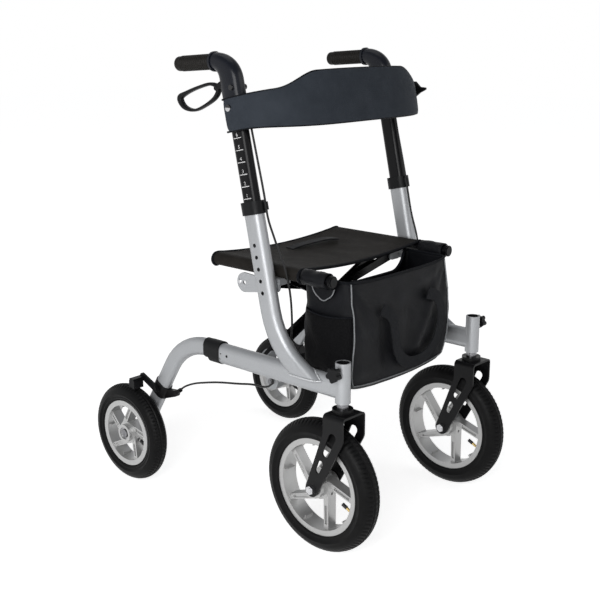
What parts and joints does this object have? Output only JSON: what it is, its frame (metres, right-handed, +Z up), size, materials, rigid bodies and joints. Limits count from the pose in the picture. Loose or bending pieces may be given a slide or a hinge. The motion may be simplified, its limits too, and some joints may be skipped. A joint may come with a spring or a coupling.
{
  "type": "rollator",
  "caption": "Folding all-terrain rollator: swivelling front casters on air tyres, height-set handles with loop brakes, sling seat, open bag and padded backrest band.",
  "frame": {"origin": "on the ground under the middle of the unfolded frame's box", "axes": "+Z up, -Y to the front where the casters are, +X to the user's left"},
  "size_m": [0.63, 0.902, 1.0893],
  "materials": {
    "silver_frame": "satin anodised",
    "black_plastic": "moulded",
    "black_steel": "satin powder coat",
    "cable": "sheathed cable",
    "steel": "zinc plated",
    "brass": "plain",
    "tyre": "air tyre rubber",
    "rim": "silver lacquer",
    "black_tube": "black gloss coat",
    "elbow": "blue-black satin",
    "grip": "ridged",
    "seat_cloth": "woven nylon",
    "bag_cloth": "woven nylon",
    "band_cloth": "padded charcoal cloth"
  },
  "bodies": {
    "frame_right": {"lower_frame_right": "silver_frame", "upright_right": "silver_frame", "rear_leg_right": "silver_frame", "frame_collars_right": "black_plastic", "fold_brackets_right": "silver_frame", "brake_clamp_right": "black_steel", "brake_cable_right": "cable", "rear_axle_right": "steel"},
    "frame_left": {"lower_frame_left": "silver_frame", "upright_left": "silver_frame", "rear_leg_left": "silver_frame", "frame_collars_left": "black_plastic", "fold_brackets_left": "silver_frame", "brake_clamp_left": "black_steel", "brake_cable_left": "cable", "rear_axle_left": "steel"},
    "cross_a": {"brace_a": "black_tube", "brace_pivot": "steel"},
    "cross_b": {"brace_b": "black_tube"},
    "link_right": {"link_right": "black_tube"},
    "link_left": {"link_left": "black_tube"},
    "seat_right": {"seat_right": "seat_cloth"},
    "seat_left": {"seat_left": "seat_cloth"},
    "bag": {"bag": "bag_cloth"},
    "handle_right": {"handle_post_right": "black_tube", "handle_elbow_right": "elbow", "grip_right": "grip", "handle_bolts_right": "steel"},
    "handle_left": {"handle_post_left": "black_tube", "handle_elbow_left": "elbow", "grip_left": "grip", "handle_bolts_left": "steel"},
    "backrest_right": {"backrest_right": "band_cloth"},
    "backrest_left": {"backrest_left": "band_cloth"},
    "lever_right": {"brake_lever_right": "black_plastic"},
    "lever_left": {"brake_lever_left": "black_plastic"},
    "brake_right": {"brake_arm_right": "black_plastic"},
    "brake_left": {"brake_arm_left": "black_plastic"},
    "caster_right": {"fork_right": "black_steel", "fork_stem_right": "silver_frame", "front_axle_right": "steel"},
    "caster_left": {"fork_left": "black_steel", "fork_stem_left": "silver_frame", "front_axle_left": "steel"},
    "front_wheel_right": {"front_tyre_right": "tyre", "front_rim_right": "rim", "front_fittings_right": "brass"},
    "front_wheel_left": {"front_tyre_left": "tyre", "front_rim_left": "rim", "front_fittings_left": "brass"},
    "rear_wheel_right": {"rear_tyre_right": "tyre", "rear_rim_right": "rim", "rear_fittings_right": "steel"},
    "rear_wheel_left": {"rear_tyre_left": "tyre", "rear_rim_left": "rim", "rear_fittings_left": "steel"},
    "knob_right": {"lock_knob_right": "black_plastic"},
    "knob_left": {"lock_knob_left": "black_plastic"},
    "button_right": {"height_button_right": "black_steel"},
    "button_left": {"height_button_left": "black_steel"}
  },
  "joints": [
    {"name": "fold", "type": "hinge", "parent": "frame_right", "child": "cross_a", "pos_m": [-0.216, -0.104, 0.408], "axis": [0, -1, 0], "range_deg": [0, 54.6], "deforming": ["seat_right", "seat_left", "bag", "backrest_right", "backrest_left"]},
    {"name": "cross_pivot", "type": "hinge", "parent": "cross_a", "child": "cross_b", "pos_m": [0, -0.0965, 0.51], "axis": [0, -1, 0], "range_deg": [-109.21, 0]},
    {"name": "frame_left_pivot", "type": "hinge", "parent": "cross_b", "child": "frame_left", "pos_m": [0.216, -0.089, 0.408], "axis": [0, -1, 0], "range_deg": [0, 54.62]},
    {"name": "link_right_pivot", "type": "hinge", "parent": "frame_right", "child": "link_right", "pos_m": [-0.216, -0.0775, 0.575], "axis": [0, -1, 0], "range_deg": [0, 91.3]},
    {"name": "link_left_pivot", "type": "hinge", "parent": "frame_left", "child": "link_left", "pos_m": [0.216, -0.1155, 0.575], "axis": [0, -1, 0], "range_deg": [-91.3, 0]},
    {"name": "seat_right_rail", "type": "hinge", "parent": "cross_b", "child": "seat_right", "pos_m": [-0.216, -0.07, 0.612], "axis": [0, -1, 0], "range_deg": [-22.56, 0]},
    {"name": "seat_middle", "type": "hinge", "parent": "seat_right", "child": "seat_left", "pos_m": [0, -0.07, 0.60575], "axis": [0, -1, 0], "range_deg": [0, 154.29]},
    {"name": "bag_rail", "type": "hinge", "parent": "cross_b", "child": "bag", "pos_m": [-0.216, -0.248, 0.612], "axis": [0, -1, 0], "range_deg": [0, 54.62]},
    {"name": "handle_right_height", "type": "slide", "parent": "frame_right", "child": "handle_right", "axis": [0, 0.219, 0.9757], "range_m": [-0.1064, 0], "deforming": ["brake_cable_right"]},
    {"name": "handle_left_height", "type": "slide", "parent": "frame_left", "child": "handle_left", "axis": [0, 0.219, 0.9757], "range_m": [-0.1064, 0], "deforming": ["brake_cable_left"]},
    {"name": "backrest_right_post", "type": "hinge", "parent": "handle_right", "child": "backrest_right", "pos_m": [-0.262, -0.0587, 0.95326], "axis": [0, 0.219, 0.9757], "range_deg": [-42.54, 0]},
    {"name": "backrest_middle", "type": "hinge", "parent": "backrest_right", "child": "backrest_left", "pos_m": [0, -0.21042, 0.98731], "axis": [0, 0.219, 0.9757], "range_deg": [0, 85.06]},
    {"name": "lever_right", "type": "hinge", "parent": "handle_right", "child": "lever_right", "pos_m": [-0.262, -0.02609, 1.02547], "axis": [1, 0, 0], "range_deg": [0, 12], "stiffness_Nm_per_rad": 3, "springref_deg": -14.32},
    {"name": "brake_right", "type": "hinge", "parent": "frame_right", "child": "brake_right", "pos_m": [-0.267, 0.2451, 0.25457], "axis": [-1, 0, 0], "range_deg": [0, 3.4]},
    {"name": "swivel_right", "type": "hinge", "parent": "frame_right", "child": "caster_right", "pos_m": [-0.248, -0.352, 0.4], "axis": [0, 0, 1], "continuous": true},
    {"name": "front_wheel_right_spin", "type": "hinge", "parent": "caster_right", "child": "front_wheel_right", "pos_m": [-0.248, -0.296, 0.155], "axis": [1, 0, 0], "continuous": true},
    {"name": "rear_wheel_right_spin", "type": "hinge", "parent": "frame_right", "child": "rear_wheel_right", "pos_m": [-0.29, 0.324, 0.127], "axis": [1, 0, 0], "continuous": true},
    {"name": "knob_right_turn", "type": "hinge", "parent": "frame_right", "child": "knob_right", "pos_m": [-0.272, -0.352, 0.432], "axis": [1, 0, 0], "range_deg": [0, 180]},
    {"name": "button_right_snap", "type": "slide", "parent": "handle_right", "child": "button_right", "axis": [-1, 0, 0], "range_m": [0, 0.0027]},
    {"name": "lever_left", "type": "hinge", "parent": "handle_left", "child": "lever_left", "pos_m": [0.262, -0.02609, 1.02547], "axis": [1, 0, 0], "range_deg": [0, 12], "stiffness_Nm_per_rad": 3, "springref_deg": -14.32},
    {"name": "brake_left", "type": "hinge", "parent": "frame_left", "child": "brake_left", "pos_m": [0.267, 0.2451, 0.25457], "axis": [-1, 0, 0], "range_deg": [0, 3.4]},
    {"name": "swivel_left", "type": "hinge", "parent": "frame_left", "child": "caster_left", "pos_m": [0.248, -0.352, 0.4], "axis": [0, 0, 1], "continuous": true},
    {"name": "front_wheel_left_spin", "type": "hinge", "parent": "caster_left", "child": "front_wheel_left", "pos_m": [0.248, -0.296, 0.155], "axis": [1, 0, 0], "continuous": true},
    {"name": "rear_wheel_left_spin", "type": "hinge", "parent": "frame_left", "child": "rear_wheel_left", "pos_m": [0.29, 0.324, 0.127], "axis": [1, 0, 0], "continuous": true},
    {"name": "knob_left_turn", "type": "hinge", "parent": "frame_left", "child": "knob_left", "pos_m": [0.272, -0.352, 0.432], "axis": [1, 0, 0], "range_deg": [0, 180]},
    {"name": "button_left_snap", "type": "slide", "parent": "handle_left", "child": "button_left", "axis": [1, 0, 0], "range_m": [0, 0.0027]}
  ],
  "couplings": [
    {"joint": "cross_pivot", "follows": "fold", "ratio": -2},
    {"joint": "frame_left_pivot", "follows": "fold", "ratio": 1},
    {"joint": "link_right_pivot", "follows": "fold", "ratio": 1.672},
    {"joint": "link_left_pivot", "follows": "fold", "ratio": -1.672},
    {"joint": "seat_right_rail", "follows": "fold", "ratio": -0.41285},
    {"joint": "seat_middle", "follows": "fold", "ratio": 2.8257},
    {"joint": "bag_rail", "follows": "fold", "ratio": 1},
    {"joint": "handle_left_height", "follows": "handle_right_height", "ratio": 1},
    {"joint": "backrest_right_post", "follows": "fold", "ratio": -0.77886},
    {"joint": "backrest_middle", "follows": "fold", "ratio": 1.5577},
    {"joint": "brake_right", "follows": "lever_right", "ratio": 0.28},
    {"joint": "brake_left", "follows": "lever_left", "ratio": 0.28}
  ]
}
